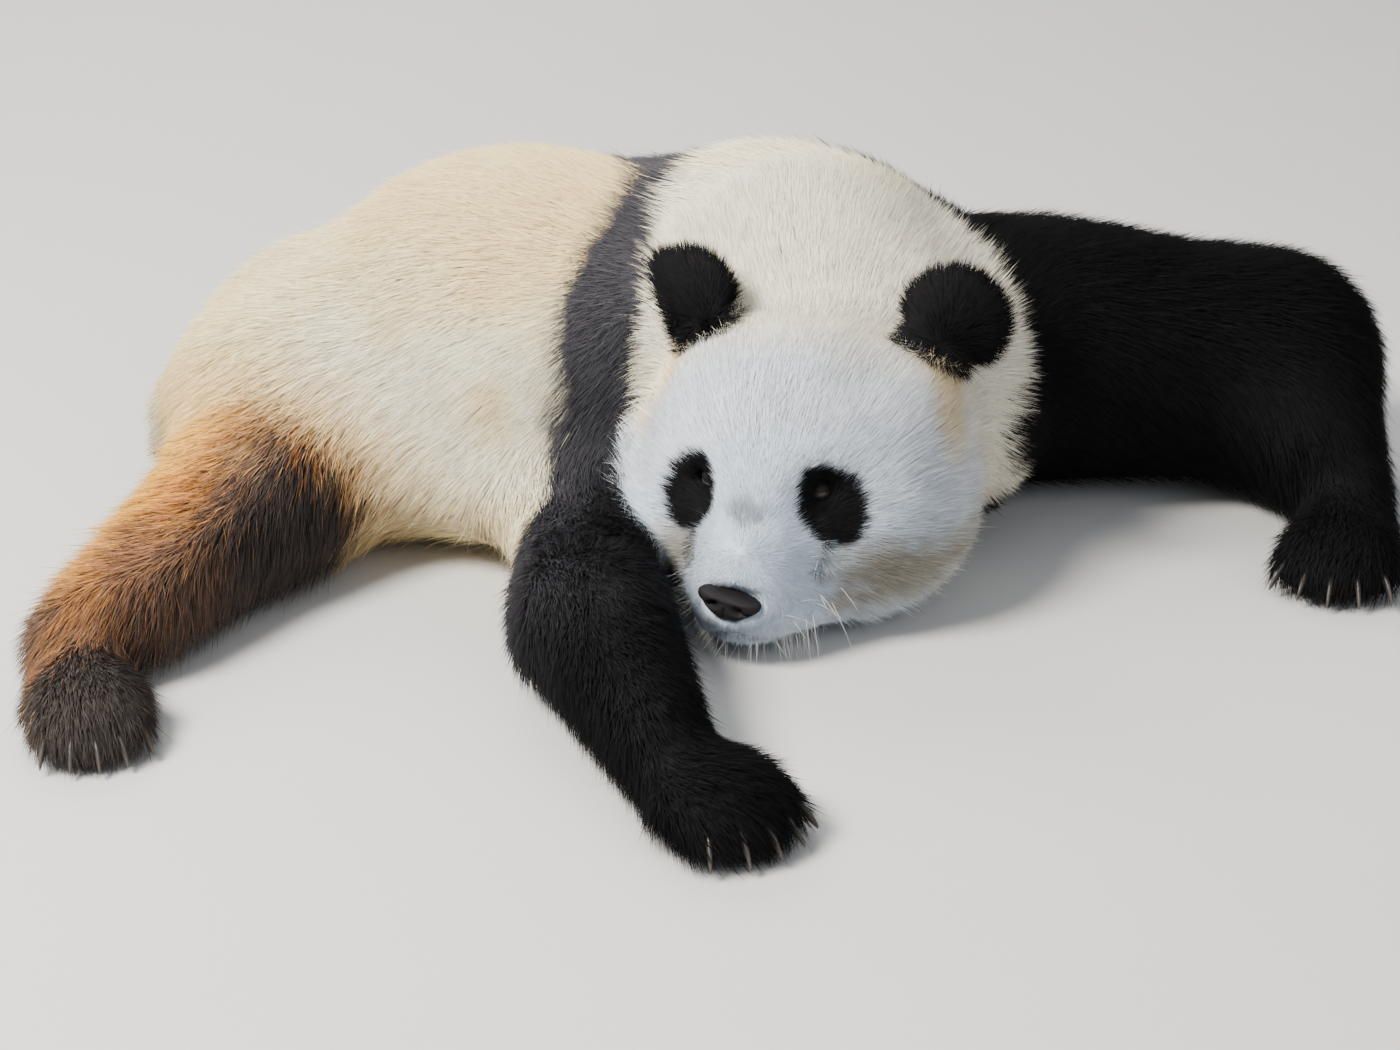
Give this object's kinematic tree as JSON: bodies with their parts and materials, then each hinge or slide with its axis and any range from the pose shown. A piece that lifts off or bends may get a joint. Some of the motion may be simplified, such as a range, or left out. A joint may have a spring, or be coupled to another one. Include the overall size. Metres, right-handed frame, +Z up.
{
  "type": "giant panda",
  "caption": "Life-size giant panda lying on its belly, head turned to its right, one foreleg reaching forward, fur in black, white and tan.",
  "frame": {"origin": "on the floor, below the middle of the whole animal", "axes": "+X from the tail towards the shoulders, +Y towards the animal's left side, +Z up"},
  "size_m": [1.4968, 1.4918, 0.4075],
  "materials": {
    "white_coat": "short dense white fur",
    "cream_coat": "plush cream fur",
    "tan_coat": "warm tan fur",
    "rust_coat": "rust brown fur",
    "black_coat": "black fur with a brown cast",
    "nose_pad": "moist bare skin",
    "eye": "wet and glossy",
    "claw": "worn horn"
  },
  "bodies": {
    "root": {"eye_left": "eye", "ear_left": "black_coat", "eye_right": "eye", "ear_right": "black_coat", "nose": "nose_pad", "head": "white_coat", "claw_fore_right_1": "claw", "claw_fore_right_2": "claw", "claw_fore_right_3": "claw", "claw_fore_right_4": "claw", "claw_fore_right_5": "claw", "paw_fore_right": "black_coat", "claw_fore_left_1": "claw", "claw_fore_left_2": "claw", "claw_fore_left_3": "claw", "claw_fore_left_4": "claw", "claw_fore_left_5": "claw", "paw_fore_left": "black_coat", "claw_hind_right_1": "claw", "claw_hind_right_2": "claw", "claw_hind_right_3": "claw", "claw_hind_right_4": "claw", "claw_hind_right_5": "claw", "paw_hind_right": "black_coat", "claw_hind_left_1": "claw", "claw_hind_left_2": "claw", "claw_hind_left_3": "claw", "claw_hind_left_4": "claw", "claw_hind_left_5": "claw", "paw_hind_left": "black_coat", "shank_right": "rust_coat", "thigh_right": "tan_coat", "trunk": "cream_coat", "forearm_right": "black_coat", "upper_arm_right": "black_coat", "tail": "cream_coat", "thigh_left": "cream_coat", "shank_left": "black_coat", "shoulders": "black_coat", "neck": "cream_coat", "forearm_left": "black_coat", "upper_arm_left": "black_coat"}
  },
  "joints": []
}
